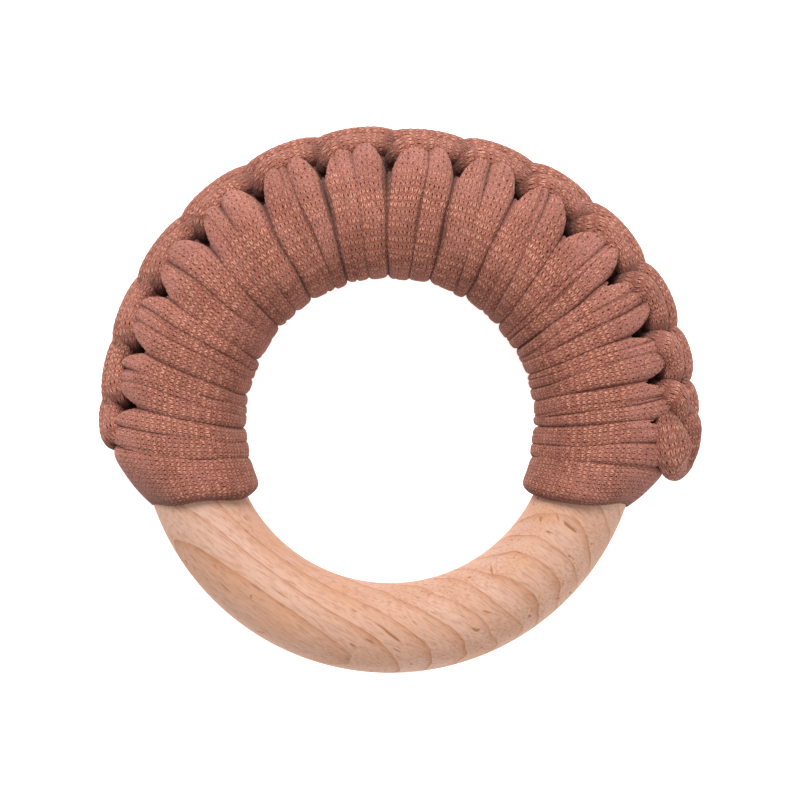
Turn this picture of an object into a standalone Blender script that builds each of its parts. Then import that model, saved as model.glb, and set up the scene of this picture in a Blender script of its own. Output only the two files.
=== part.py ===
"""A teething ring: a round beech ring with a crochet cover worked over most of it.

The cover is one length of tubular jersey yarn in single crochet. Each stitch wraps the wooden bar with
two legs, one wide and one narrow, and ends in a chain loop that lies along the outer rim. The rest of the
bar is bare wood. The cover can be pushed round the smooth bar, so its pieces hang under an empty on the
ring's axis.

Metres, +Z up. The ring lies flat on its cover, with the bare wood towards -Y, and the origin is under the
middle of the whole object.
"""

import math

import bmesh
import bpy
from mathutils import Matrix

# The wooden ring.
RING_OUTER_DIAMETER = 0.070
BAR_DIAMETER = 0.0126

# The cover: yarn thickness on the bar, and the room that lets it slide.
YARN_THICKNESS = 0.0021
SLIDING_CLEARANCE = 0.0003
PIECE_GAP = 0.0003

# Half the arc that the cover takes up, in degrees, at the outer rim and at the centre hole.
COVER_HALF_ARC_RIM = 108.0
COVER_HALF_ARC_HOLE = 117.6
COVER_MIDDLE = 90.0

# Rim angles, in degrees, between one hand-worked stitch and the next, clockwise from the first stitch.
STITCH_EDGES = (
    187.5, 175.5, 163.0, 149.7, 135.2, 119.9, 105.4, 90.6,
    75.4, 61.4, 48.3, 33.8, 20.8, 10.2, 1.7, -8.5,
)
WIDE_LEG_SHARE = 0.56

# The chain of loops along the rim gets fuller towards the last stitch.
CHAIN_THICKNESS_FIRST = 0.0033
CHAIN_THICKNESS_LAST = 0.0054
CHAIN_HALF_HEIGHT = 0.0046
CHAIN_TAPER = 0.22
KNOT_THICKNESS = 0.0057
KNOT_HALF_HEIGHT = 0.0045
KNOT_ARC = (0.8, -11.2)

# The ring's axis, seen from the middle of the whole object: the chain makes the top and the right wider.
AXIS_X = -0.0014
AXIS_Y = -0.0032

# Facets.
RING_STEPS = 72
BAR_STEPS = 20
WRAP_STEPS = 16
LOOP_STEPS_ROUND = 12
LOOP_STEPS_ALONG = 8

# Worked out from the sizes above.
BAR_RADIUS = BAR_DIAMETER / 2
RING_RADIUS = RING_OUTER_DIAMETER / 2 - BAR_RADIUS
COVER_INNER_RADIUS = BAR_RADIUS + SLIDING_CLEARANCE
COVER_OUTER_RADIUS = COVER_INNER_RADIUS + YARN_THICKNESS
AXIS_Z = COVER_OUTER_RADIUS
CHAIN_INNER_RADIUS = RING_RADIUS + COVER_OUTER_RADIUS + PIECE_GAP

# A leg's cross-section: the side, from -1 to 1 of its half width, and the height over its inner face.
# The crown is flat in the middle, so that the ring lies steady on its underside.
LEG_PROFILE = ((-1.0, 0.0), (1.0, 0.0), (1.0, 0.62), (0.6, 1.0), (-0.6, 1.0), (-1.0, 0.62))


def clear_scene():
    for old in list(bpy.data.objects):
        bpy.data.objects.remove(old, do_unlink=True)


def principled(name, colour, roughness):
    material = bpy.data.materials.new(name)
    material.use_nodes = True
    shader = material.node_tree.nodes["Principled BSDF"]
    shader.inputs["Base Color"].default_value = (*colour, 1.0)
    shader.inputs["Roughness"].default_value = roughness
    shader.inputs["Metallic"].default_value = 0.0
    material.diffuse_color = (*colour, 1.0)
    return material


def new_collection(name):
    collection = bpy.data.collections.new(name)
    bpy.context.scene.collection.children.link(collection)
    return collection


def axis_empty(collection):
    """The empty on the ring's axis that the cover turns about."""
    empty = bpy.data.objects.new("cover_axis", None)
    empty.location = (AXIS_X, AXIS_Y, AXIS_Z)
    empty.empty_display_size = RING_RADIUS
    collection.objects.link(empty)
    return empty


def round_object(name, mesh, material, collection, parent):
    """An object with smooth round faces and crisp edges between them, on the ring's axis."""
    mesh.materials.append(material)
    mesh.shade_smooth()
    mesh.set_sharp_from_angle(angle=math.radians(50))
    piece = bpy.data.objects.new(name, mesh)
    collection.objects.link(piece)
    piece.parent = parent
    return piece


def wooden_ring(material, collection):
    bpy.ops.mesh.primitive_torus_add(
        major_radius=RING_RADIUS,
        minor_radius=BAR_RADIUS,
        major_segments=RING_STEPS,
        minor_segments=BAR_STEPS,
        location=(AXIS_X, AXIS_Y, AXIS_Z),
    )
    ring = bpy.context.active_object
    ring.name = "wooden_ring"
    ring.data.name = "wooden_ring"
    ring.data.materials.append(material)
    ring.data.shade_smooth()
    for owner in list(ring.users_collection):
        owner.objects.unlink(ring)
    collection.objects.link(ring)
    return ring


def bend_round_ring(shape, radius, angle_of):
    """Moves points from a straight frame to the ring: x out from radius, y along the rim, z up.

    angle_of gives a point's angle round the ring, in radians, from its x, y and z.
    """
    for point in shape.verts:
        outward, along, up = point.co
        reach = radius + outward
        angle = angle_of(outward, along, up)
        point.co = (reach * math.cos(angle), reach * math.sin(angle), up)


def finished_mesh(name, shape):
    shape.normal_update()
    bmesh.ops.recalc_face_normals(shape, faces=shape.faces)
    mesh = bpy.data.meshes.new(name)
    shape.to_mesh(mesh)
    shape.free()
    return mesh


def cover_angle(rim_angle, outward):
    """The angle, in radians, where a strand at rim_angle lies once it has gone outward from the bar's axis.

    Strands fan out towards the centre hole, so that the cover's two ends are nearly straight edges.
    """
    share = (rim_angle - COVER_MIDDLE) / COVER_HALF_ARC_RIM
    inward = 0.5 - 0.5 * outward / COVER_OUTER_RADIUS
    half_arc = COVER_HALF_ARC_RIM + (COVER_HALF_ARC_HOLE - COVER_HALF_ARC_RIM) * inward
    return math.radians(COVER_MIDDLE + share * half_arc)


def leg(name, first_edge, last_edge, material, collection, parent):
    """One turn of yarn round the bar, a closed band between two rim angles in degrees."""
    middle = (first_edge + last_edge) / 2
    half_width = abs(first_edge - last_edge) / 2
    facet_share = math.cos(math.pi / WRAP_STEPS)
    shape = bmesh.new()
    corners = []
    for side, height in LEG_PROFILE:
        radius = (COVER_INNER_RADIUS + height * YARN_THICKNESS) / facet_share
        corners.append(shape.verts.new((radius, side, 0.0)))
    edges = [shape.edges.new((a, b)) for a, b in zip(corners, corners[1:] + corners[:1])]
    # Half a step of turn first, so that a facet and not a corner points straight down.
    half_step = Matrix.Rotation(math.pi / WRAP_STEPS, 3, "Y")
    bmesh.ops.rotate(shape, verts=corners, cent=(0, 0, 0), matrix=half_step)
    bmesh.ops.spin(
        shape,
        geom=corners + edges,
        cent=(0, 0, 0),
        axis=(0, 1, 0),
        angle=math.tau,
        steps=WRAP_STEPS,
        use_merge=True,
    )

    def angle_of(outward, side, _up):
        gap = math.degrees(PIECE_GAP / 2 / (RING_RADIUS + outward))
        return cover_angle(middle + side * (half_width - gap), outward)

    bend_round_ring(shape, RING_RADIUS, angle_of)
    return round_object(name, finished_mesh(name, shape), material, collection, parent)


def rim_lump(name, arc, thickness, half_height, taper, material, collection, parent):
    """An egg of yarn on the rim over an arc in degrees, fuller at its clockwise end by the taper."""
    first, last = arc
    radius = CHAIN_INNER_RADIUS + thickness / 2
    half_length = radius * math.radians(first - last) / 2 - PIECE_GAP / 2
    middle = math.radians((first + last) / 2)
    shape = bmesh.new()
    bmesh.ops.create_uvsphere(
        shape, u_segments=LOOP_STEPS_ROUND, v_segments=LOOP_STEPS_ALONG, radius=1.0
    )
    for point in shape.verts:
        across, up, along = point.co
        fullness = 1.0 - taper * (1.0 + along) / 2
        point.co = (
            across * fullness * thickness / 2,
            along * half_length,
            up * fullness * half_height,
        )

    def angle_of(_outward, along, _up):
        return middle + along / radius

    bend_round_ring(shape, radius, angle_of)
    return round_object(name, finished_mesh(name, shape), material, collection, parent)


def chain_loop(number, arc, material, collection, parent):
    share = (number - 1) / (len(STITCH_EDGES) - 2)
    thickness = CHAIN_THICKNESS_FIRST + share * (CHAIN_THICKNESS_LAST - CHAIN_THICKNESS_FIRST)
    name = f"stitch_{number:02d}_chain_loop"
    return rim_lump(
        name, arc, thickness, CHAIN_HALF_HEIGHT, CHAIN_TAPER, material, collection, parent
    )


def stitches(material, collection, parent):
    """Every stitch's two legs, and a chain loop on each but the last, which the knot closes."""
    count = len(STITCH_EDGES) - 1
    for number, (first, last) in enumerate(zip(STITCH_EDGES, STITCH_EDGES[1:]), start=1):
        between = first + WIDE_LEG_SHARE * (last - first)
        name = f"stitch_{number:02d}"
        leg(f"{name}_wide_leg", first, between, material, collection, parent)
        leg(f"{name}_narrow_leg", between, last, material, collection, parent)
        if number < count:
            chain_loop(number, (first, last), material, collection, parent)


def cover_ends(material, collection, parent):
    """The turn of yarn that starts the cover, the one that ends it, and the knot beside the last one."""
    start_of_cover = COVER_MIDDLE + COVER_HALF_ARC_RIM
    end_of_cover = COVER_MIDDLE - COVER_HALF_ARC_RIM
    leg("starting_leg", start_of_cover, STITCH_EDGES[0], material, collection, parent)
    leg("finishing_leg", STITCH_EDGES[-1], end_of_cover, material, collection, parent)
    rim_lump(
        "finishing_knot", KNOT_ARC, KNOT_THICKNESS, KNOT_HALF_HEIGHT, 0.0,
        material, collection, parent,
    )


def main():
    clear_scene()
    collection = new_collection("teething_ring")
    beech = principled("beech_wood", (0.776, 0.515, 0.366), 0.55)
    yarn = principled("jersey_yarn", (0.381, 0.144, 0.093), 0.9)
    wooden_ring(beech, collection)
    axis = axis_empty(collection)
    stitches(yarn, collection, axis)
    cover_ends(yarn, collection, axis)


main()
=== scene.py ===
"""Looks of the crochet-covered teething ring: jersey yarn strands round a beech ring, on a pale floor."""

import math

import bpy
import numpy as np
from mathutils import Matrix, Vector


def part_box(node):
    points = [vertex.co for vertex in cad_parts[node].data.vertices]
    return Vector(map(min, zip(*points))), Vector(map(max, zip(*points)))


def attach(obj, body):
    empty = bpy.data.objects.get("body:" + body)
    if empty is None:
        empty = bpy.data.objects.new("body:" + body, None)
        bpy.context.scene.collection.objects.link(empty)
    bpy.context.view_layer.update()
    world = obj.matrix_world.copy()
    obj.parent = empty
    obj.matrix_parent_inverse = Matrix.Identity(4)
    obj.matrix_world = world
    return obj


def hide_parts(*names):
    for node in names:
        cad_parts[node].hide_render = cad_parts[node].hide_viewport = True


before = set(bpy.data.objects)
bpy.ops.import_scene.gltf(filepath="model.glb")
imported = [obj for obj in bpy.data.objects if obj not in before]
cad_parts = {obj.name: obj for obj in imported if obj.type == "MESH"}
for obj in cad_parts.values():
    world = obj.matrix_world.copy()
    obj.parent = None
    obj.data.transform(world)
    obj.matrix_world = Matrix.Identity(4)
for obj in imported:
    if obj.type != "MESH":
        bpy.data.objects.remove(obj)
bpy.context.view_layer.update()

MM = 0.001

# The camera looks straight down on the ring from far enough to show little perspective.
VIEW_WIDTH = 112.0 * MM
LENS = 150.0
SENSOR = 36.0

# Jersey knit: the spacing of its wales across a strand and of its courses along it, and its relief.
WALE = 0.58 * MM
# The yarn is pulled longest at the top of the ring: the courses' spacing by rim angle, in mm.
COURSE_AT = (0.0, 50.0, 120.0, 180.0)
COURSE_LENGTH = (0.74, 0.96, 0.96, 0.76)
KNIT_RELIEF = 0.06 * MM
KNIT_SLANT = 0.50

# Yarn legs round the bar: how high the crown stands over the bar, and how much more towards the rim. A
# squareness of 2 makes an oval crown, and a higher one makes it flatter with steeper sides.
LEG_STEPS_AROUND = 420
LEG_STEP_ACROSS = 0.15 * MM
LEG_BASE_STEPS = 6
LEG_HEIGHT = 2.15 * MM
LEG_LIFT_OFF_BAR = 0.10 * MM
LEG_SQUARENESS = 5.4
CROWN_POWER = 1.0 / 2.1
RIM_BULGE = 2.1 * MM
RIM_BULGE_ANGLE = 14.0
RIM_BULGE_SPREAD = 38.0
BACK_BULGE = 0.7 * MM
BACK_BULGE_ANGLE = -38.0
BACK_BULGE_SPREAD = 25.0
# How unevenly a leg runs, its middle in degrees and its width and height as shares, and in how many
# waves round the bar.
MIDDLE_WOBBLE = 0.38
MIDDLE_WAVES = (1, 2, 4)
WIDTH_WOBBLE = 0.04
WIDTH_WAVES = (2, 3, 5)
HEIGHT_WOBBLE = 0.06
HEIGHT_WAVES = (3, 5, 7)
# Where each change along a leg sets in and where it is full, from 1 at the rim to -1 at the centre hole.
ROUND_TOWARDS_RIM = (0.3, 0.9)
ROUND_TOWARDS_HOLE = (-0.1, -0.7)
MOUND_TOWARDS_RIM = (0.0, 0.9)
GATHER_TOWARDS_RIM = (0.62, 1.0)
THIN_TOWARDS_RIM = (-0.2, 0.9)
FUZZ_TOWARDS_RIM = (0.25, 0.85)
# The darkening towards the hole is painted shade.
DARK_TOWARDS_HOLE = (-0.3, -0.9)
# Towards the rim each stitch's two legs draw together by a small share, and end in a broad rounded top.
GATHER_TIGHT = 0.04
GATHER_LOOSE = 0.03
ROUNDNESS_AT_RIM = 4.4
ROUNDNESS_AT_HOLE = 5.0
# A stitch's two legs make one mound, flatter on the bar's face and rounder at the rim.
MOUND_ROUNDNESS = 3.0
MOUND_ON_FACE = 0.17
MOUND_WIDTH = 1.05
MOUND_AT_RIM = 0.55
# Where the chain lies over the legs' tops, this share of the mound is lost.
MOUND_LOST_UNDER_CHAIN = 0.55
# Near the rim the yarn sinks into a pocket at each border between stitches, darkened with painted shade.
# It opens from next to nothing at its inner end to its full width at its outer end, both in degrees round
# the bar's section.
# That half width, by rim angle, is in mm. The pocket lies POCKET_LATE degrees clockwise of the border.
POCKET_DEPTH = 0.88
# How much painted shade darkens the yarn deep in a pocket.
POCKET_PAINTED_SHADE = 0.92
POCKET_INNER_END = 45.0
POCKET_OUTER_END = 15.0
POCKET_CUSP = 1.5
POCKET_NARROWEST = 0.05
POCKET_LATE = 0.6
POCKET_AT = (-8.5, 1.7, 20.0, 34.0, 48.0, 62.0, 150.0, 176.0, 186.0)
POCKET_HALF_WIDTH = (0.65, 1.3, 2.21, 2.08, 3.25, 1.69, 1.95, 1.95, 0.65)
# Over these shares of its length it deepens from its inner end and flattens out past its outer end.
POCKET_FADE_IN = 0.3
POCKET_FADE_OUT = 0.4
# Folds along a leg: the deepest as a share of its height, the shallowest as a share of that, and how far
# from its middle they lie at most, how far they sway and how wide they are, as shares of its half width.
FOLD_DEPTH = 0.15
FOLD_SHALLOWEST = 0.3
FOLD_PLACE = 0.45
FOLD_SWAY = 0.10
FOLD_WIDTH = 0.09
# Painted shade: the yarn's colour is darkest where it lies deepest, and a little darker inside the centre
# hole.
SHADE_AT_BAR = 0.50
SHADE_BY_LIFT = 0.70
SHADE_LOST_IN_HOLE = 0.10
# Painted shade along the crease between two legs: darker by one share, over another share of a leg's half
# width.
SEAM_PAINTED_SHADE = 0.24
SEAM_WIDTH = 0.15
# Towards the rim the fuzz hides this share of the knit's relief. It reaches down to a little below the
# bar's middle, here as a share of the leg's radius.
RELIEF_LOST_UNDER_FUZZ = 0.6
FUZZ_DOWN_TO = -0.2
# At the top of the ring, by rim angle, a stitch's legs stand apart with rounder tops and more painted
# shade in the crease between them. Elsewhere they press into one.
APART_AT = (58.0, 78.0, 122.0, 138.0)
APART = (0.0, 1.0, 1.0, 0.0)
LEG_OVERLAP = 0.34
OVERLAP_APART = 0.26
ROUNDNESS_APART = 3.0
SEAM_PAINTED_SHADE_APART = 0.38
# The strands at the cover's two ends: on its free side each thins at the rim by this share, and it
# bulges at the rim by this much more.
END_SQUARENESS = 4.0
END_OVERLAP = 0.16
END_THINNING = 0.93
END_BULGE = 0.5 * MM
END_SEED = 7
# Where the chain stands further out, the legs under it are fuller by this much of the distance, and by
# this much less where it lies over them.
BULGE_UNDER_CHAIN = 0.8
BULGE_LOST_UNDER_CHAIN = 0.35
# Rim angles between which the legs go from loose to tight.
LOOSE_UP_TO = 60.0
TIGHT_FROM = 150.0
STITCHES = 15

# At the centre hole the strands don't fan evenly: how many degrees they lie off an even fan.
FAN_RIM_ANGLE = (-18.0, -8.5, 1.7, 10.2, 20.8, 33.8, 48.3, 61.4, 170.0, 187.5, 198.0)
FAN_SHIFT = (0.0, 3.5, 3.9, 5.0, 3.8, 1.0, -3.0, 0.0, 0.0, -1.7, 0.0)
# At the rim the starting strand's crease lies further round than the CAD's, in degrees.
LEANING_RIM_ANGLE = (175.5, 187.5, 198.0)
LEANING_SHIFT = (0.0, -2.3, 0.0)
# The wide leg takes this much more of its stitch at the centre hole than at the rim.
WIDER_AT_HOLE = 0.10
# The seam between a stitch's legs lies off its even place by up to this share of the stitch.
SEAM_LEAN = 0.13

# Chain loops along the rim, with a rounded-off oval section that faces up and outwards.
LOOP_STEPS_ALONG = 230
LOOP_STEPS_ROUND = 60
CURVE_STEPS_PER_CONTROL = 24
LOOP_SQUARENESS = 2.4
LOOP_TILT_OUT = 0.64
LOOP_TILT_UP = 0.77
LOOP_FUZZ = 0.2

BEECH_STEPS_ROUND_RING = 288
BEECH_STEPS_ROUND_BAR = 72


# ---------------------------------------------------------------- the frame's measures

ring_low, ring_high = (np.array(corner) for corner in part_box("wooden_ring"))
AXIS = (ring_low + ring_high) / 2
BAR_RADIUS = (ring_high[2] - ring_low[2]) / 2
RING_RADIUS = (ring_high[0] - ring_low[0]) / 2 - BAR_RADIUS


def node_angles(name):
    """A leg's edges, in degrees, first then last going clockwise: at the rim, then at the centre hole."""
    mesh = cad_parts[name].data
    points = np.empty(len(mesh.vertices) * 3)
    mesh.vertices.foreach_get("co", points)
    points = points.reshape(-1, 3) - AXIS
    outward = np.hypot(points[:, 0], points[:, 1]) - RING_RADIUS
    section = np.degrees(np.arctan2(np.abs(points[:, 2]), outward))
    # Angles are counted from straight down, where the wood is bare, so that none of them jumps.
    angles = (np.degrees(np.arctan2(points[:, 1], points[:, 0])) + 90.0) % 360.0 - 90.0
    # Its rim end and its hole end are the points within a degree of the section's two extremes.
    found = []
    for there in (section < section.min() + 1, section > section.max() - 1):
        found += [angles[there].max(), angles[there].min()]
    return found


def course_pitch(angle):
    """The length of a course of the knit at a rim angle, in metres."""
    return float(np.interp(angle, COURSE_AT, COURSE_LENGTH)) * MM


def leg_edges(name):
    """The node's edges, with the uneven fan at the centre hole and the leaning crease added."""
    edges = node_angles(name)
    for end in (0, 1):
        edges[2 + end] += float(np.interp(edges[end], FAN_RIM_ANGLE, FAN_SHIFT))
        edges[end] += float(np.interp(edges[end], LEANING_RIM_ANGLE, LEANING_SHIFT))
    return edges


def polar(angle, reach, height):
    """Points in metres from an angle in degrees round the ring, a reach from its axis and a height."""
    turn = np.radians(angle)
    return np.stack(
        [AXIS[0] + reach * np.cos(turn), AXIS[1] + reach * np.sin(turn), AXIS[2] + height], axis=-1
    )


def rise(value, start, end):
    """0 before start, 1 past end, and a smooth rise between; end may be the smaller of the two."""
    share = np.clip((value - start) / (end - start), 0.0, 1.0)
    return share * share * (3.0 - 2.0 * share)


def wobble(value, waves, seed):
    """A smooth wave that repeats as value goes from 0 to 1, between about -1 and 1."""
    dice = np.random.default_rng(seed)
    total = np.zeros_like(value)
    for wave in waves:
        phase = 2 * math.pi * (wave * value + dice.random())
        total += math.sqrt(1.0 / len(waves)) * np.sin(phase)
    return total


# ---------------------------------------------------------------- meshes

# A quad's corners, as steps in rows and columns from its first one.
CORNERS = ((0, 0), (1, 0), (1, 1), (0, 1))


def closed_grid_mesh(name, points, wales, courses, looks):
    """A mesh from a grid of points that closes both ways, with a UV map and one attribute per look.

    wales has one value more than the grid has columns; courses has one value per row.
    """
    rows, columns = points.shape[:2]
    mesh = bpy.data.meshes.new(name)
    index = np.arange(rows * columns).reshape(rows, columns)
    corners = [np.roll(index, (-row, -column), axis=(0, 1)) for row, column in CORNERS]
    quads = np.stack(corners, axis=-1).reshape(-1, 4)
    mesh.vertices.add(rows * columns)
    mesh.vertices.foreach_set("co", points.reshape(-1))
    mesh.loops.add(quads.size)
    mesh.loops.foreach_set("vertex_index", quads.reshape(-1))
    mesh.polygons.add(len(quads))
    mesh.polygons.foreach_set("loop_start", np.arange(0, quads.size, 4))
    along = np.append(courses, courses[-1] + (courses[-1] - courses[-2]))
    uv = np.empty((rows, columns, 4, 2))
    for number, (row, column) in enumerate(CORNERS):
        uv[:, :, number, 0] = wales[column : columns + column][None, :]
        uv[:, :, number, 1] = along[row : rows + row][:, None]
    layer = mesh.uv_layers.new(name="knit")
    layer.data.foreach_set("uv", uv.reshape(-1))
    for look, values in looks.items():
        attribute = mesh.attributes.new(look, "FLOAT", "POINT")
        attribute.data.foreach_set("value", np.broadcast_to(values, (rows, columns)).reshape(-1))
    mesh.update(calc_edges=True)
    mesh.validate()
    mesh.shade_smooth()
    return mesh


def whole(count):
    """A whole number of stitches or steps, at least two, so that a pattern closes on itself."""
    return max(2, int(round(count)))


def crown_sides(half_width, height, squareness):
    """Places across a strand's crown, -1 to 1, evenly spaced along its outline."""
    fine = np.linspace(-1.0, 1.0, 1001)
    lift = crown_lift(fine, squareness)
    steps = np.hypot(np.diff(fine) * half_width, np.diff(lift) * height)
    length = np.concatenate([[0.0], np.cumsum(steps)])
    count = whole(length[-1] / LEG_STEP_ACROSS)
    return np.interp(np.linspace(0.0, length[-1], count), length, fine)


def crown_lift(side, squareness):
    """How high a crown stands, 1 in its middle and 0 at its edges; the squarer, the flatter its top."""
    return (1.0 - np.clip(np.abs(side), 0.0, 1.0) ** squareness) ** CROWN_POWER


def knit_height(wale, course):
    """The knit's relief, 0 to 1: two slanting strokes in each wale, which meet in a V."""
    across = wale - np.floor(wale)
    slant = np.abs(2 * across - 1) * KNIT_SLANT
    ridge = 0.5 + 0.5 * np.cos(2 * math.pi * (course - slant))
    return ridge * np.abs(np.sin(2 * math.pi * across)) ** 0.5


def with_relief(points, wales, courses, depth):
    """The same grid, raised along its normals by the knit's relief."""
    along = np.roll(points, -1, axis=0) - np.roll(points, 1, axis=0)
    across = np.roll(points, -1, axis=1) - np.roll(points, 1, axis=1)
    normal = np.cross(along, across)
    normal /= np.maximum(np.linalg.norm(normal, axis=2, keepdims=True), 1e-12)
    height = knit_height(wales[None, :-1], courses[:, None]) * depth
    return points + normal * height[:, :, None]


def arc_shares(side, lift, width, height):
    """How far round the section each profile point is, 0 to 1 with the closing 1, and the perimeter."""
    x = np.append(side, side[0]) * width
    y = np.append(lift, lift[0]) * height
    steps = np.hypot(np.diff(x), np.diff(y))
    return np.concatenate([[0.0], np.cumsum(steps)]) / steps.sum(), steps.sum()


# A leg's rows go round the bar's section, from the rim over the top to the centre hole and back below.
SECTION = np.linspace(0.0, 2 * math.pi, LEG_STEPS_AROUND, endpoint=False)[:, None]
ROUND_SHARE = SECTION / (2 * math.pi)
# 1 at the rim and -1 at the centre hole, then 0 at the rim and 1 at the centre hole.
OUTWARD = np.cos(SECTION)
INWARD = 0.5 - 0.5 * OUTWARD


def towards_hole(at_rim, at_hole):
    """A leg's measure on each of its rows, from its values at the rim and at the centre hole."""
    return at_rim * (1 - INWARD) + at_hole * INWARD


def section_degrees(at):
    """Degrees round the bar's section from the angle at to each row, -180 to 180."""
    return (np.degrees(SECTION) - at + 180.0) % 360.0 - 180.0


def bulge(height, at, spread):
    """A smooth swelling of a strand round the angle at, in degrees round the bar's section."""
    return height * np.exp(-((section_degrees(at) / spread) ** 2))


def pocket(angle, border, half_width):
    """How far into the pocket at a stitch's border each point lies, 0 to 1; half_width is in metres."""
    away = np.radians(angle - border + POCKET_LATE) * (RING_RADIUS + BAR_RADIUS)
    outwards = (POCKET_INNER_END - section_degrees(0.0)) / (POCKET_INNER_END - POCKET_OUTER_END)
    # It opens slowly and then faster, so that the stitches' tops between the pockets are round arches.
    opening = half_width * np.clip(outwards, POCKET_NARROWEST, 1.0) ** POCKET_CUSP
    ends = rise(outwards, 0.0, POCKET_FADE_IN) * rise(outwards, 1.0 + POCKET_FADE_OUT, 1.0)
    return ends * np.exp(-((away / opening) ** 4))


def folds(side, seed, count):
    """Soft folds along a leg at chance places, as the share of its height that they take away."""
    dice = np.random.default_rng(seed)
    total = 0.0
    for _ in range(count):
        place = dice.uniform(-FOLD_PLACE, FOLD_PLACE)
        place = place + FOLD_SWAY * np.sin(SECTION * dice.integers(1, 4))
        depth = FOLD_DEPTH * dice.uniform(FOLD_SHALLOWEST, 1.0)
        total = total + depth * np.exp(-(((side - place) / FOLD_WIDTH) ** 2))
    return total


def leg_profile(width, squareness, rim_roundness):
    """Places across a leg, over its crown and back under it, its lift there on each row, and its wales."""
    crown = crown_sides(width, LEG_HEIGHT, squareness)
    base = np.linspace(1.0, -1.0, LEG_BASE_STEPS + 2)[1:-1]
    side = np.concatenate([crown, base])
    near_rim = rise(OUTWARD, *ROUND_TOWARDS_RIM)
    near_hole = rise(OUTWARD, *ROUND_TOWARDS_HOLE)
    # The crown is squarest on the bar's face, where the strands press together.
    roundness = squareness + (rim_roundness - squareness) * near_rim
    roundness = roundness + (ROUNDNESS_AT_HOLE - squareness) * near_hole
    lift = np.zeros((LEG_STEPS_AROUND, len(side)))
    lift[:, : len(crown)] = crown_lift(crown, roundness)
    outline = np.concatenate([crown_lift(crown, squareness), np.zeros(LEG_BASE_STEPS)])
    shares, perimeter = arc_shares(side, outline, width, LEG_HEIGHT)
    return side, lift, shares * whole(perimeter / WALE)


def worked_into_stitch(angle, lift, stitch):
    """A leg's angles and lifts once its stitch's mound and pockets shape them, and its depth in a pocket."""
    first = towards_hole(*stitch["first"])
    last = towards_hole(*stitch["last"])
    from_middle = angle - (first + last) / 2
    mound = crown_lift(from_middle / (MOUND_WIDTH * (first - last) / 2), MOUND_ROUNDNESS)
    strength = MOUND_ON_FACE + (stitch["mound"] - MOUND_ON_FACE) * rise(OUTWARD, *MOUND_TOWARDS_RIM)
    lift = lift * (1 - strength * (1 - mound))
    depth = pocket(angle, first, stitch["first_pocket"]) + pocket(angle, last, stitch["last_pocket"])
    lift = lift * (1 - POCKET_DEPTH * np.clip(depth, 0, 1))
    gather = stitch["gather"] * rise(OUTWARD, *GATHER_TOWARDS_RIM)
    angle = stitch["seam"] + (angle - stitch["seam"]) * (1 - gather)
    return angle, lift, depth


def leg_height(more_bulge, seed):
    """How high a leg's crown stands over the bar on each row, in metres."""
    height = LEG_HEIGHT * (1 + HEIGHT_WOBBLE * wobble(ROUND_SHARE, HEIGHT_WAVES, seed))
    height = height + bulge(RIM_BULGE + more_bulge, RIM_BULGE_ANGLE, RIM_BULGE_SPREAD)
    return height + bulge(BACK_BULGE, BACK_BULGE_ANGLE, BACK_BULGE_SPREAD)


def leg_shade(side, lift, depth, overlap, apart):
    """The painted shade on a leg, 0 to 1: darker where it lies deep, along its creases, in the pockets and
    inside the centre hole.
    """
    crease = 1 / (1 + overlap)
    seam = rise(np.abs(side), crease - SEAM_WIDTH, crease)
    # Painted shade along the crease between two legs, stronger where they stand apart.
    seam_shade = SEAM_PAINTED_SHADE + (SEAM_PAINTED_SHADE_APART - SEAM_PAINTED_SHADE) * apart
    shade = np.clip(SHADE_AT_BAR + SHADE_BY_LIFT * lift, 0, 1) * (1 - seam_shade * seam)
    # Painted shade inside the centre hole.
    in_hole = 1 - SHADE_LOST_IN_HOLE * rise(OUTWARD, *DARK_TOWARDS_HOLE)
    return shade * in_hole * (1 - POCKET_PAINTED_SHADE * np.clip(depth, 0, 1))


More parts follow.
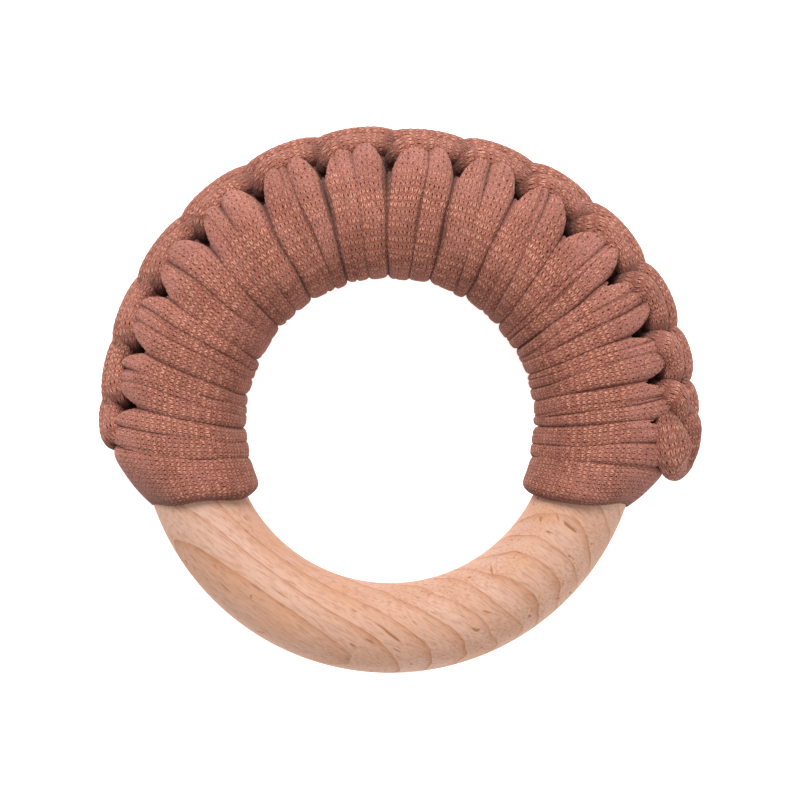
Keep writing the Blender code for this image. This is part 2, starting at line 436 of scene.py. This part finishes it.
def leg_points(edges, seed, squareness, overlap, stitch=None, fold_count=0, end=0):
    """One leg round the bar, between its edges' rim and hole angles.

    stitch gives what it shares with the other leg of its stitch; end is 1 or -1 for the strand at the
    cover's start or finish, whose free side thins down to the bar at the rim.
    """
    rim_first, rim_last, hole_first, hole_last = edges
    middle = towards_hole((rim_first + rim_last) / 2, (hole_first + hole_last) / 2)
    half = towards_hole((rim_first - rim_last) / 2, (hole_first - hole_last) / 2)
    middle = middle - end * overlap * half + MIDDLE_WOBBLE * wobble(ROUND_SHARE, MIDDLE_WAVES, seed + 1)
    half = half * (1 + overlap) * (1 + WIDTH_WOBBLE * wobble(ROUND_SHARE, WIDTH_WAVES, seed))
    width = float(np.mean(half)) * math.pi / 180 * RING_RADIUS
    apart = stitch["apart"] if stitch else 0.0
    rim_roundness = ROUNDNESS_AT_RIM + (ROUNDNESS_APART - ROUNDNESS_AT_RIM) * apart
    side, lift, wales = leg_profile(width, squareness, rim_roundness)
    lift = lift * (1 - folds(side, seed + 3, fold_count))
    angle = middle - side * half
    depth = 0.0
    more_bulge = 0.0
    if stitch:
        angle, lift, depth = worked_into_stitch(angle, lift, stitch)
        more_bulge = stitch["more_bulge"]
    if end:
        # 1 along the free side, 0 along the side next to the stitches.
        freedom = np.clip(0.5 - 0.5 * end * side, 0.0, 1.0)
        lift = lift * (1 - END_THINNING * freedom * rise(OUTWARD, *THIN_TOWARDS_RIM))
        more_bulge = END_BULGE
    radius = BAR_RADIUS + LEG_LIFT_OFF_BAR + leg_height(more_bulge, seed + 2) * lift
    points = polar(angle, RING_RADIUS + radius * OUTWARD, radius * np.sin(SECTION))

    length = 2 * math.pi * (BAR_RADIUS + LEG_HEIGHT)
    courses = ROUND_SHARE[:, 0] * whole(length / course_pitch(rim_first))
    fuzz = rise(OUTWARD, *FUZZ_TOWARDS_RIM) * (np.sin(SECTION) > FUZZ_DOWN_TO)
    points = with_relief(points, wales, courses, KNIT_RELIEF * (1 - RELIEF_LOST_UNDER_FUZZ * fuzz))
    # The yarn lies flat where it meets the table.
    points[:, :, 2] = np.maximum(points[:, :, 2], 0.0)
    shade = leg_shade(side, lift, depth, overlap, apart)
    return points, wales, courses, {"shade": shade, "fuzz": fuzz}


def between_controls(before, here, after, beyond, t):
    """A point of a Catmull-Rom curve, t of the way from here to after."""
    once = (after - before) * t
    twice = (2 * before - 5 * here + 4 * after - beyond) * t * t
    thrice = (3 * here - before - 3 * after + beyond) * t**3
    return 0.5 * (2 * here + once + twice + thrice)


def closed_curve(controls, count):
    """A smooth closed curve through control points, sampled evenly along its length."""
    controls = np.asarray(controls, float)
    dense = []
    for number in range(len(controls)):
        near = [controls[(number + step) % len(controls)] for step in (-1, 0, 1, 2)]
        for t in np.linspace(0, 1, CURVE_STEPS_PER_CONTROL, endpoint=False):
            dense.append(between_controls(*near, t))
    dense = np.array(dense)
    closed = np.vstack([dense, dense[:1]])
    steps = np.linalg.norm(np.diff(closed[:, :3], axis=0), axis=1)
    length = np.concatenate([[0], np.cumsum(steps)])
    wanted = np.linspace(0, length[-1], count, endpoint=False)
    even = np.stack([np.interp(wanted, length, closed[:, k]) for k in range(closed.shape[1])], axis=-1)
    return even, length[-1]


def loop_points(controls, plane_normal, course):
    """A closed strand: each control is x, y, z, half width, half thickness and painted shade."""
    curve, length = closed_curve(controls, LOOP_STEPS_ALONG)
    centre, half_width, half_thick = curve[:, :3], curve[:, 3], curve[:, 4]
    tangent = np.roll(centre, -1, axis=0) - np.roll(centre, 1, axis=0)
    tangent /= np.linalg.norm(tangent, axis=1)[:, None]
    up = plane_normal[None, :] - tangent * (tangent @ plane_normal)[:, None]
    up /= np.linalg.norm(up, axis=1)[:, None]
    across = np.cross(tangent, up)
    turn = np.linspace(0, 2 * math.pi, LOOP_STEPS_ROUND, endpoint=False)
    power = 2.0 / LOOP_SQUARENESS
    cosine = np.sign(np.cos(turn)) * np.abs(np.cos(turn)) ** power
    sine = np.sign(np.sin(turn)) * np.abs(np.sin(turn)) ** power
    points = (
        centre[:, None, :]
        + across[:, None, :] * (half_width[:, None] * cosine[None, :])[:, :, None]
        + up[:, None, :] * (half_thick[:, None] * sine[None, :])[:, :, None]
    )
    shares, perimeter = arc_shares(cosine, sine, half_width.mean(), half_thick.mean())
    wales = shares * whole(perimeter / WALE)
    courses = np.linspace(0, 1, LOOP_STEPS_ALONG, endpoint=False) * whole(length / course)
    points = with_relief(points, wales, courses, KNIT_RELIEF)
    looks = {"shade": curve[:, 5:6], "fuzz": LOOP_FUZZ}
    return points, wales, courses, looks


# A chain loop's run: share of the way to the next pocket, reach and height in mm over the ring's
# middle, half width and half thickness in mm, and its painted shade, low at the pocket and where it dives.
# It leaves the pocket, runs along the front, dives behind the next loop's root and comes back along the rim.
CHAIN_ROUTE = (
    (0.04, 35.9, -0.4, 1.15, 1.05, 0.05),
    (0.08, 37.0, 1.2, 1.35, 1.20, 0.25),
    (0.16, 37.9, 2.2, 1.50, 1.30, 0.70),
    (0.28, 38.6, 2.3, 1.55, 1.35, 1.00),
    (0.48, 38.9, 1.7, 1.50, 1.40, 1.00),
    (0.75, 38.9, 1.0, 1.45, 1.40, 1.00),
    (1.00, 38.6, 0.7, 1.40, 1.35, 0.62),
    (1.18, 38.0, -0.2, 1.30, 1.25, 0.25),
    (1.28, 38.2, -1.4, 1.30, 1.25, 0.30),
    (1.16, 39.2, -1.9, 1.40, 1.40, 0.80),
    (0.88, 39.9, -1.7, 1.50, 1.45, 1.00),
    (0.50, 40.0, -1.4, 1.50, 1.45, 1.00),
    (0.15, 39.7, -1.0, 1.45, 1.40, 0.95),
    (-0.04, 38.8, -1.1, 1.30, 1.25, 0.50),
    (-0.04, 37.0, -1.4, 1.20, 1.15, 0.15),
)
CHAIN_ROUTE_OUTER = 41.45
# Towards its finish the chain lies over the legs' tops: how much it does, by rim angle, and how far its
# front then rises and its root moves out, in mm.
OVERLAID_AT = (20.0, 65.0, 170.0, 190.0)
OVERLAID = (1.0, 0.0, 0.0, 0.4)
OVERLAID_RAISE = 1.5
OVERLAID_OUTWARD = 0.2
# Heights over the ring's middle, in mm, between which a point of the route goes from back to front.
BACK_HEIGHT = -1.0
FRONT_HEIGHT = 2.0
# Where the chain reaches further out, the route's points move with it: not at all at one reach, and all
# the way this much further out, both in mm. What the yarn's own thickening adds is taken off.
REACH_HELD = 36.0
REACH_MOVED = 4.0
# Its yarn is looser there and so thicker, by this share per mm.
CHAIN_THICKER = 0.10
# The first loop starts this many degrees inside its stitch, beside the starting strand.
FIRST_LOOP_LATE = 2.5
# Where the chain lies over the legs, its loops start up to this many degrees past the pocket.
ROOT_LATE = 2.2
# How far out the loops reach, in mm, at some angles round the ring.
OUTER_AT = (0.0, 40.0, 90.0, 130.0, 180.0)
OUTER_REACH = (43.2, 43.2, 41.4, 42.0, 40.8)


# A control's last term is the strand's painted shade there.
def control(first, last, share, reach, height, half_width, half_thick, painted_shading):
    """A closed strand's control in metres, a share of the way between two rim angles, from sizes in mm."""
    spot = polar(first + share * (last - first), reach * MM, height * MM)
    return [*spot, half_width * MM, half_thick * MM, painted_shading]


def chain_controls(first, last, outer):
    """The chain route's controls between two rim angles, reaching out as far as outer in mm."""
    controls = []
    more = outer - CHAIN_ROUTE_OUTER
    thicker = 1 + CHAIN_THICKER * more
    for share, reach, height, half_width, half_thick, painted_shading in CHAIN_ROUTE:
        front = float(np.interp(height, (BACK_HEIGHT, FRONT_HEIGHT), (0.0, 1.0))) * overlaid(first)
        outward = OVERLAID_OUTWARD * (1 - share) * front
        grown = reach + ((reach - REACH_HELD) / REACH_MOVED - CHAIN_THICKER) * more + outward
        raised = height + OVERLAID_RAISE * front
        sizes = (half_width * thicker, half_thick * thicker)
        controls.append(control(first, last, share, grown, raised, *sizes, painted_shading))
    return controls


def tilted_normal(angle):
    """The direction the chain's loops face at a rim angle: up and outwards."""
    turn = math.radians(angle)
    return np.array([LOOP_TILT_OUT * math.cos(turn), LOOP_TILT_OUT * math.sin(turn), LOOP_TILT_UP])


def chain_loop(first, last, outer):
    """The loop over one stitch: it comes out of the pocket at the first edge and dives under the next one."""
    controls = chain_controls(first, last, outer)
    return loop_points(controls, tilted_normal((first + last) / 2), course_pitch(first))


# ---------------------------------------------------------------- materials

# Jersey colours: the cloth bare and under fuzz, the painted highlight on a stroke of a V, the painted
# shade in the pinhole in it, and then the tints for tufts of fibre, for patches and for the painted shade
# of how deep the yarn lies.
CLOTH_COLOUR = (0.265, 0.089, 0.062)
FUZZ_COLOUR = (0.360, 0.148, 0.116)
STROKE_HIGHLIGHT_COLOUR = (1.0, 0.50, 0.34)
PINHOLE_SHADE_COLOUR = (0.050, 0.011, 0.008)
TUFT_STOPS = ((0.36, (0.40, 0.32, 0.32)), (0.5, (1.0, 1.0, 1.0)), (0.64, (1.6, 1.6, 1.6)))
PATCH_STOPS = ((0.32, (0.82, 0.78, 0.76)), (0.62, (1.0, 1.0, 1.0)))
SHADE_STOPS = ((0.0, (0.06, 0.035, 0.04)), (1.0, (1.0, 1.0, 1.0)))
SHEEN_TINT = (1.0, 0.70, 0.62, 1.0)
# A pinhole lies half way along each course once this share of a course is added. Its half width is in
# half wales, and its half length in courses.
PINHOLE_SHIFT = 0.28
PINHOLE_WIDTH = 0.36
PINHOLE_LENGTH = 0.17

# Beech: the fibre's direction on the ring's face and the growth layers' tilt, in degrees, the layers'
# spacing, and the colours.
FIBRE_ANGLE = -36.0
LAYER_TILT = -38.0
LAYER_SPACING = 2.9 * MM
BEECH_STOPS = ((0.30, (0.545, 0.300, 0.200)), (0.55, (0.585, 0.345, 0.250)), (0.8, (0.62, 0.39, 0.30)))
LATE_WOOD_COLOUR = (0.370, 0.135, 0.055)
EARLY_WOOD_COLOUR = (0.560, 0.290, 0.165)
PORE_STOPS = ((0.30, (0.78, 0.72, 0.68)), (0.5, (1.0, 1.0, 1.0)), (0.7, (1.08, 1.10, 1.12)))
BLUSH_COLOUR = (0.600, 0.300, 0.150)
BLUSH_STOPS = ((0.55, (0, 0, 0)), (0.75, (1, 1, 1)))
# Dashes as the turn from the fibre in degrees, stretch, noise scale, rarity and colour: short dark ones
# along the fibre, and ray flecks across it two ways.
RAY_COLOUR = (0.440, 0.165, 0.075)
DASHES = (
    (0.0, 0.09, 1500.0, 0.70, (0.330, 0.140, 0.070)),
    (28.0, 0.14, 1100.0, 0.735, RAY_COLOUR),
    (-50.0, 0.14, 900.0, 0.745, RAY_COLOUR),
)


class Nodes:
    """A short way to write a material's node tree."""

    def __init__(self, name):
        self.material = bpy.data.materials.new(name)
        self.material.use_nodes = True
        self.tree = self.material.node_tree
        self.shader = self.tree.nodes["Principled BSDF"]

    def add(self, kind, **settings):
        """A new node with the settings given."""
        node = self.tree.nodes.new(kind)
        for key, value in settings.items():
            setattr(node, key, value)
        return node

    def link(self, source, socket):
        """Joins an output to a socket, or sets the socket where source is a plain number."""
        if isinstance(source, (int, float)):
            socket.default_value = source
        else:
            self.tree.links.new(source, socket)

    def maths(self, operation, first, second=0.0, third=0.0, clamp=False):
        """A Math node's result; each of its terms is an output or a plain number."""
        node = self.add("ShaderNodeMath", operation=operation, use_clamp=clamp)
        for socket, value in zip(node.inputs, (first, second, third)):
            self.link(value, socket)
        return node.outputs[0]

    def noise(self, vector, scale, detail=2.0, roughness=0.5):
        """A noise texture's value; scale is about how many of its blotches lie along a metre."""
        node = self.add("ShaderNodeTexNoise")
        self.link(vector, node.inputs["Vector"])
        node.inputs["Scale"].default_value = scale
        node.inputs["Detail"].default_value = detail
        node.inputs["Roughness"].default_value = roughness
        return node.outputs["Fac"]

    def ramp(self, value, stops):
        """A colour by value, from stops of a place and a colour."""
        node = self.add("ShaderNodeValToRGB")
        ramp = node.color_ramp
        while len(ramp.elements) < len(stops):
            ramp.elements.new(0.5)
        for element, (place, colour) in zip(ramp.elements, stops):
            element.position = place
            element.color = (*colour, 1.0)
        self.link(value, node.inputs["Fac"])
        return node.outputs["Color"]

    def mix(self, factor, first, second, blend="MIX"):
        """Two colours mixed; each is an output or a plain colour."""
        node = self.add("ShaderNodeMix", data_type="RGBA", blend_type=blend)
        self.link(factor, node.inputs["Factor"])
        for value, socket in ((first, node.inputs[6]), (second, node.inputs[7])):
            if isinstance(value, tuple):
                socket.default_value = (*value, 1.0)
            else:
                self.link(value, socket)
        return node.outputs[2]


def yarn_material():
    """Terracotta jersey: rows of small Vs lit by painted highlights, with a pinhole of painted shade in each,
    under a haze of fuzz.
    """
    n = Nodes("terracotta_jersey")
    uv = n.add("ShaderNodeUVMap", uv_map="knit").outputs[0]
    place = n.add("ShaderNodeTexCoord").outputs["Object"]
    split = n.add("ShaderNodeSeparateXYZ")
    n.link(uv, split.inputs[0])
    # The rows wander a little, so that none runs straight.
    slow_drift = n.maths("SUBTRACT", n.noise(place, 350.0, 2.0), 0.5)
    quick_drift = n.maths("SUBTRACT", n.noise(place, 1500.0, 1.0), 0.5)
    wale = n.maths("MULTIPLY_ADD", quick_drift, 0.40, split.outputs[0])
    course = n.maths("MULTIPLY_ADD", slow_drift, 1.2, split.outputs[1])
    course = n.maths("MULTIPLY_ADD", quick_drift, 0.35, course)
    across = n.maths("MULTIPLY_ADD", n.maths("FRACT", wale), 2.0, -1.0)
    from_middle = n.maths("ABSOLUTE", across)
    # Each V's two strokes: the relief where they stand proud, and a painted highlight there.
    slant = n.maths("MULTIPLY_ADD", from_middle, -KNIT_SLANT, course)
    wave = n.maths("COSINE", n.maths("MULTIPLY", slant, 2 * math.pi))
    stroke = n.maths("POWER", n.maths("MULTIPLY_ADD", wave, 0.5, 0.5), 2.0)
    proud = n.maths("SINE", n.maths("MULTIPLY", from_middle, math.pi))
    stroke = n.maths("MULTIPLY", stroke, n.maths("POWER", proud, 0.8))
    # The pinhole inside each V, darkened with painted shade.
    down = n.maths("SUBTRACT", n.maths("FRACT", n.maths("ADD", course, PINHOLE_SHIFT)), 0.5)
    narrow = n.maths("POWER", n.maths("DIVIDE", from_middle, PINHOLE_WIDTH), 2.0)
    short = n.maths("POWER", n.maths("DIVIDE", down, PINHOLE_LENGTH), 2.0)
    hole = n.maths("EXPONENT", n.maths("MULTIPLY", n.maths("ADD", narrow, short), -1.0))
    # No two stitches of the knit are quite alike.
    cell = n.add("ShaderNodeCombineXYZ")
    n.link(n.maths("FLOOR", wale), cell.inputs[0])
    n.link(n.maths("FLOOR", n.maths("ADD", course, PINHOLE_SHIFT)), cell.inputs[1])
    chance = n.add("ShaderNodeTexWhiteNoise", noise_dimensions="2D")
    n.link(cell.outputs[0], chance.inputs["Vector"])
    chance = chance.outputs["Value"]
    hole = n.maths("MULTIPLY", hole, n.maths("MULTIPLY_ADD", chance, 0.7, 0.65))
    stroke = n.maths("MULTIPLY", stroke, n.maths("MULTIPLY_ADD", chance, -0.7, 1.0))

    # Fuzz hides the knit towards the rim and in chance patches; clear is where it doesn't.
    rim_fuzz = n.add("ShaderNodeAttribute", attribute_name="fuzz").outputs["Fac"]
    haze = n.maths("MULTIPLY_ADD", n.noise(place, 260.0, 2.0), 1.9, -0.88)
    fuzz = n.maths("ADD", haze, n.maths("MULTIPLY", rim_fuzz, 0.70), clamp=True)
    clear = n.maths("SUBTRACT", 1.0, fuzz)
    fibres = n.noise(place, 6500.0, 3.0, 0.7)

    cloth = n.mix(fuzz, CLOTH_COLOUR, FUZZ_COLOUR)
    # Painted highlight on the strokes and painted shade in the pinholes, both weaker under fuzz.
    lit = n.maths("MULTIPLY", stroke, n.maths("MULTIPLY_ADD", clear, 0.70, 0.12))
    cloth = n.mix(lit, cloth, STROKE_HIGHLIGHT_COLOUR)
    pinhole = n.maths("MULTIPLY", hole, n.maths("MULTIPLY_ADD", clear, 0.60, 0.68), clamp=True)
    cloth = n.mix(pinhole, cloth, PINHOLE_SHADE_COLOUR)
    cloth = n.mix(1.0, cloth, n.ramp(fibres, TUFT_STOPS), "MULTIPLY")
    cloth = n.mix(1.0, cloth, n.ramp(n.noise(place, 120.0, 3.0), PATCH_STOPS), "MULTIPLY")
    # Painted shade from the shade attribute: the yarn darker where it lies deep, in creases and pockets,
    # inside the centre hole and where the chain dives.
    shade = n.add("ShaderNodeAttribute", attribute_name="shade").outputs["Fac"]
    cloth = n.mix(1.0, cloth, n.ramp(shade, SHADE_STOPS), "MULTIPLY")
    n.link(cloth, n.shader.inputs["Base Color"])
    n.shader.inputs["Roughness"].default_value = 0.9
    n.shader.inputs["Sheen Weight"].default_value = 0.12
    n.shader.inputs["Sheen Roughness"].default_value = 0.5
    n.shader.inputs["Sheen Tint"].default_value = SHEEN_TINT
    n.shader.inputs["Specular IOR Level"].default_value = 0.2
    height = n.maths("MULTIPLY_ADD", stroke, 0.8, n.maths("MULTIPLY", fibres, 0.5))
    height = n.maths("MULTIPLY_ADD", hole, -1.0, height)
    bump = n.add("ShaderNodeBump")
    bump.inputs["Strength"].default_value = 0.8
    bump.inputs["Distance"].default_value = 0.10 * MM
    n.link(n.maths("MULTIPLY", height, n.maths("MULTIPLY_ADD", clear, 0.6, 0.4)), bump.inputs["Height"])
    n.link(bump.outputs[0], n.shader.inputs["Normal"])
    return n.material


def beech_material():
    """Pale beech: growth rings that the round bar cuts at a slant, fine pores, dark dashes and ray flecks."""
    n = Nodes("pale_beech")
    place = n.add("ShaderNodeTexCoord").outputs["Object"]
    fibre = math.radians(FIBRE_ANGLE)
    tilt = math.radians(LAYER_TILT)
    along = Vector((math.cos(fibre), math.sin(fibre), 0.0))
    layer = Vector((-along.y * math.cos(tilt), along.x * math.cos(tilt), math.sin(tilt)))
    side = along.cross(layer)

    def measure(direction):
        """How far each point lies along a direction."""
        dot = n.add("ShaderNodeVectorMath", operation="DOT_PRODUCT")
        n.link(place, dot.inputs[0])
        dot.inputs[1].default_value = direction
        return dot.outputs["Value"]

    def stretched(turned, stretch):
        """Coordinates drawn out along the fibre, or along a line turned from it in degrees."""
        turn = math.radians(turned)
        ahead = along * math.cos(turn) + layer * math.sin(turn)
        across = layer * math.cos(turn) - along * math.sin(turn)
        vector = n.add("ShaderNodeCombineXYZ")
        n.link(n.maths("MULTIPLY", measure(ahead), stretch), vector.inputs[0])
        n.link(measure(across), vector.inputs[1])
        n.link(measure(side), vector.inputs[2])
        return vector.outputs[0]

    def dashes(turned, stretch, scale, rarity):
        """Where the rare peaks of a stretched noise lie, 0 or 1 with a soft edge."""
        value = n.noise(stretched(turned, stretch), scale, 1.0)
        return n.ramp(value, ((rarity, (0, 0, 0)), (rarity + 0.05, (1, 1, 1))))

    # Growth rings, warped along the grain, each with a thin dark line of late wood at its end.
    grain = stretched(0.0, 0.09)
    warp = n.maths("MULTIPLY", n.maths("SUBTRACT", n.noise(grain, 130.0, 2.0), 0.5), 1.7)
    rings = n.maths("FRACT", n.maths("ADD", n.maths("DIVIDE", measure(layer), LAYER_SPACING), warp))
    late_wood = n.maths("POWER", rings, 9.0)
    clouds = n.noise(grain, 240.0, 2.0)
    colour = n.ramp(clouds, BEECH_STOPS)
    strength = n.maths("MULTIPLY", n.noise(place, 200.0), 1.6)
    line = n.maths("MULTIPLY", late_wood, strength, clamp=True)
    colour = n.mix(line, colour, LATE_WOOD_COLOUR)
    early = n.maths("MULTIPLY", n.maths("POWER", rings, 2.5), 0.28)
    colour = n.mix(early, colour, EARLY_WOOD_COLOUR)
    # Pores, dashes and flecks, and a warm blush in places.
    pores = n.noise(stretched(0.0, 0.16), 3600.0, 3.0, 0.6)
    colour = n.mix(1.0, colour, n.ramp(pores, PORE_STOPS), "MULTIPLY")
    for *where, dash_colour in DASHES:
        colour = n.mix(dashes(*where), colour, dash_colour)
    warm = n.maths("MULTIPLY", n.ramp(n.noise(place, 180.0, 2.0), BLUSH_STOPS), 0.35)
    colour = n.mix(warm, colour, BLUSH_COLOUR)
    n.link(colour, n.shader.inputs["Base Color"])
    n.link(n.maths("MULTIPLY_ADD", pores, 0.2, 0.56), n.shader.inputs["Roughness"])
    n.shader.inputs["Specular IOR Level"].default_value = 0.25
    bump = n.add("ShaderNodeBump")
    bump.inputs["Strength"].default_value = 0.35
    bump.inputs["Distance"].default_value = 0.06 * MM
    n.link(n.maths("SUBTRACT", pores, n.maths("MULTIPLY", late_wood, 0.3)), bump.inputs["Height"])
    n.link(bump.outputs[0], n.shader.inputs["Normal"])
    return n.material


# ---------------------------------------------------------------- pieces

def show(name, mesh, material, body, node):
    """Puts a mesh in the scene in place of a CAD node, riding on that node's body."""
    mesh.materials.append(material)
    piece = bpy.data.objects.new(name, mesh)
    bpy.context.scene.collection.objects.link(piece)
    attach(piece, body)
    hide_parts(node)


def beech_ring(material):
    """The wooden ring, at its CAD size and shape."""
    around = np.linspace(0, 360, BEECH_STEPS_ROUND_RING, endpoint=False)
    section = np.linspace(0, 2 * math.pi, BEECH_STEPS_ROUND_BAR, endpoint=False)
    around, section = np.meshgrid(around, section, indexing="ij")
    points = polar(around, RING_RADIUS + BAR_RADIUS * np.cos(section), BAR_RADIUS * np.sin(section))
    share_of_bar = np.arange(BEECH_STEPS_ROUND_BAR + 1) / BEECH_STEPS_ROUND_BAR
    share_of_ring = np.arange(BEECH_STEPS_ROUND_RING) / BEECH_STEPS_ROUND_RING
    mesh = closed_grid_mesh("beech_ring", points, share_of_bar, share_of_ring, {})
    show("beech_ring", mesh, material, "ring", "wooden_ring")


def yarn_piece(node, points, wales, courses, looks, material):
    """A strand of the cover, from its grid of points, in place of its CAD node."""
    mesh = closed_grid_mesh("yarn_" + node, points, wales, courses, looks)
    show("yarn_" + node, mesh, material, "cover", node)


def tightness(angle):
    """How tight the stitches are worked: 1 at the cover's start on the left, 0 on the right."""
    return float(rise(angle, LOOSE_UP_TO, TIGHT_FROM))


def chain_outer(angle):
    """How far out the chain reaches, in mm, at a rim angle."""
    return float(np.interp(angle, OUTER_AT, OUTER_REACH))


def overlaid(angle):
    """1 where the chain lies over the legs' tops, towards its finish, and 0 where they stand before it."""
    return float(np.interp(angle, OVERLAID_AT, OVERLAID))


def extra_bulge(angle):
    """Where the chain stands further out, the legs under it are fuller, less so where it lies over them."""
    share = BULGE_UNDER_CHAIN - BULGE_LOST_UNDER_CHAIN * overlaid(angle)
    return share * (chain_outer(angle) - CHAIN_ROUTE_OUTER) * MM


def stitch_shape(wide, narrow):
    """What the two legs of a stitch share, from their edges' angles at the rim and at the centre hole."""
    tight = tightness(wide[0])
    apart = float(np.interp(wide[1], APART_AT, APART))
    return {
        "seam": wide[1],
        "first": (wide[0], wide[2]),
        "last": (narrow[1], narrow[3]),
        "first_pocket": pocket_half_width(wide[0]),
        "last_pocket": pocket_half_width(narrow[1]),
        "apart": apart,
        "gather": GATHER_LOOSE + (GATHER_TIGHT - GATHER_LOOSE) * tight,
        "more_bulge": extra_bulge(wide[0]),
        "mound": MOUND_AT_RIM * (1 - MOUND_LOST_UNDER_CHAIN * overlaid(wide[0])),
    }


def pocket_half_width(angle):
    """The half width of the pocket at a border between stitches, in metres, by its rim angle."""
    return float(np.interp(angle, POCKET_AT, POCKET_HALF_WIDTH)) * MM


def stitch_legs(number):
    """The edges of a stitch's wide and narrow legs, with the seam between them leaning its own way."""
    wide = leg_edges(f"stitch_{number:02d}_wide_leg")
    narrow = leg_edges(f"stitch_{number:02d}_narrow_leg")
    dice = np.random.default_rng(number)
    lean = SEAM_LEAN * dice.uniform(-1.0, 1.0, 2)
    at_rim = wide[1] + lean[0] * (wide[0] - narrow[1])
    at_hole = wide[3] + (lean[1] - WIDER_AT_HOLE) * (wide[2] - narrow[3])
    wide[1] = narrow[0] = at_rim
    wide[3] = narrow[2] = at_hole
    return wide, narrow


def legs(material):
    """The two legs of each stitch, and the strands at the cover's start and finish."""
    for number in range(1, STITCHES + 1):
        wide, narrow = stitch_legs(number)
        stitch = stitch_shape(wide, narrow)
        overlap = LEG_OVERLAP + (OVERLAP_APART - LEG_OVERLAP) * stitch["apart"]
        for kind, edges, fold_count in (("wide", wide, 1), ("narrow", narrow, 0)):
            seed = 100 * number + 10 * fold_count
            parts = leg_points(edges, seed, LEG_SQUARENESS, overlap, stitch, fold_count)
            yarn_piece(f"stitch_{number:02d}_{kind}_leg", *parts, material)
    for node, end in (("starting_leg", 1), ("finishing_leg", -1)):
        parts = leg_points(leg_edges(node), END_SEED + end, END_SQUARENESS, END_OVERLAP, end=end)
        yarn_piece(node, *parts, material)


def loops(material):
    """The chain loop of each stitch but the last, whose loop is the finishing knot."""
    for number in range(1, STITCHES):
        wide, narrow = stitch_legs(number)
        late = FIRST_LOOP_LATE if number == 1 else ROOT_LATE * overlaid(wide[0])
        first = wide[0] - late
        outer = chain_outer(wide[0])
        yarn_piece(f"stitch_{number:02d}_chain_loop", *chain_loop(first, narrow[1], outer), material)


# The last loop, pulled tight round the yarn's end. Its columns are those of CHAIN_ROUTE, the last being
# its painted shade, and its shares run between the two rim angles of KNOT_ARC.
KNOT_ROUTE = (
    (-0.06, 37.1, 0.8, 1.2, 1.2, 0.10),
    (0.06, 38.1, 3.2, 1.8, 1.5, 0.50),
    (0.26, 38.8, 4.6, 2.4, 1.6, 0.85),
    (0.46, 39.3, 4.8, 2.8, 1.7, 0.88),
    (0.63, 39.8, 4.2, 3.0, 1.7, 0.88),
    (0.73, 40.2, 2.0, 2.7, 1.5, 0.80),
    (0.68, 40.9, -0.6, 2.2, 1.6, 0.80),
    (0.44, 41.6, -0.2, 1.8, 1.8, 0.90),
    (0.12, 41.5, 0.6, 1.8, 1.8, 0.90),
    (-0.08, 39.9, 0.6, 1.5, 1.4, 0.60),
)
KNOT_ARC = (1.7, -11.2)


def finishing_knot(material):
    """The knot on the rim at the cover's right end."""
    first, last = KNOT_ARC
    controls = [control(first, last, *point) for point in KNOT_ROUTE]
    parts = loop_points(controls, tilted_normal((first + last) / 2), course_pitch(first))
    yarn_piece("finishing_knot", *parts, material)


# ---------------------------------------------------------------- stage

# The floor, just below the object so that their surfaces don't coincide, and how much it glows.
FLOOR_HALF_SIZE = 3.0
FLOOR_DROP = 0.2 * MM
FLOOR_COLOUR = (0.92, 0.92, 0.92, 1.0)
FLOOR_GLOW = 0.76

# The studio: a warm white surround, and lamps as name, place, size and power in watts.
SURROUND_COLOUR = (1.0, 0.985, 0.97, 1.0)
SURROUND_STRENGTH = 0.42
LAMPS = (
    ("key", (-0.10, 0.42, 0.50), 0.30, 4.4),
    ("fill", (0.30, -0.20, 0.55), 0.50, 1.1),
)


def floor():
    """A pale floor that glows a little, so that it stays nearly white under a soft shadow."""
    mesh = bpy.data.meshes.new("floor")
    size = FLOOR_HALF_SIZE
    corners = [(-size, -size, 0), (size, -size, 0), (size, size, 0), (-size, size, 0)]
    mesh.from_pydata(corners, [], [(0, 1, 2, 3)])
    n = Nodes("pale_floor")
    n.shader.inputs["Base Color"].default_value = FLOOR_COLOUR
    n.shader.inputs["Roughness"].default_value = 0.9
    n.shader.inputs["Specular IOR Level"].default_value = 0.1
    n.shader.inputs["Emission Color"].default_value = (1.0, 1.0, 1.0, 1.0)
    n.shader.inputs["Emission Strength"].default_value = FLOOR_GLOW
    mesh.materials.append(n.material)
    ground = bpy.data.objects.new("floor", mesh)
    ground.location = (0, 0, -FLOOR_DROP)
    bpy.context.scene.collection.objects.link(ground)


def area_light(name, place, size, power):
    """A round lamp that faces the origin."""
    light = bpy.data.lights.new(name, "AREA")
    light.shape = "DISK"
    light.size = size
    light.energy = power
    lamp = bpy.data.objects.new(name, light)
    lamp.location = place
    lamp.rotation_euler = (-Vector(place)).to_track_quat("-Z", "Y").to_euler()
    bpy.context.scene.collection.objects.link(lamp)


def lights():
    """An even surround, a soft key from behind and above, and a weaker fill from the other side."""
    world = bpy.data.worlds.new("studio")
    bpy.context.scene.world = world
    world.use_nodes = True
    background = world.node_tree.nodes["Background"]
    background.inputs["Color"].default_value = SURROUND_COLOUR
    background.inputs["Strength"].default_value = SURROUND_STRENGTH
    for lamp in LAMPS:
        area_light(*lamp)


def camera():
    """Straight above the middle of the frame, far off with a long lens."""
    data = bpy.data.cameras.new("camera")
    data.sensor_width = SENSOR
    data.lens = LENS
    data.clip_start = 0.01
    data.clip_end = 20.0
    eye = bpy.data.objects.new("camera", data)
    eye.location = (0, 0, AXIS[2] + VIEW_WIDTH * LENS / SENSOR)
    bpy.context.scene.collection.objects.link(eye)
    bpy.context.scene.camera = eye
    bpy.context.scene.view_settings.view_transform = "Standard"


def main():
    beech_ring(beech_material())
    yarn = yarn_material()
    legs(yarn)
    loops(yarn)
    finishing_knot(yarn)
    floor()
    lights()
    camera()


main()
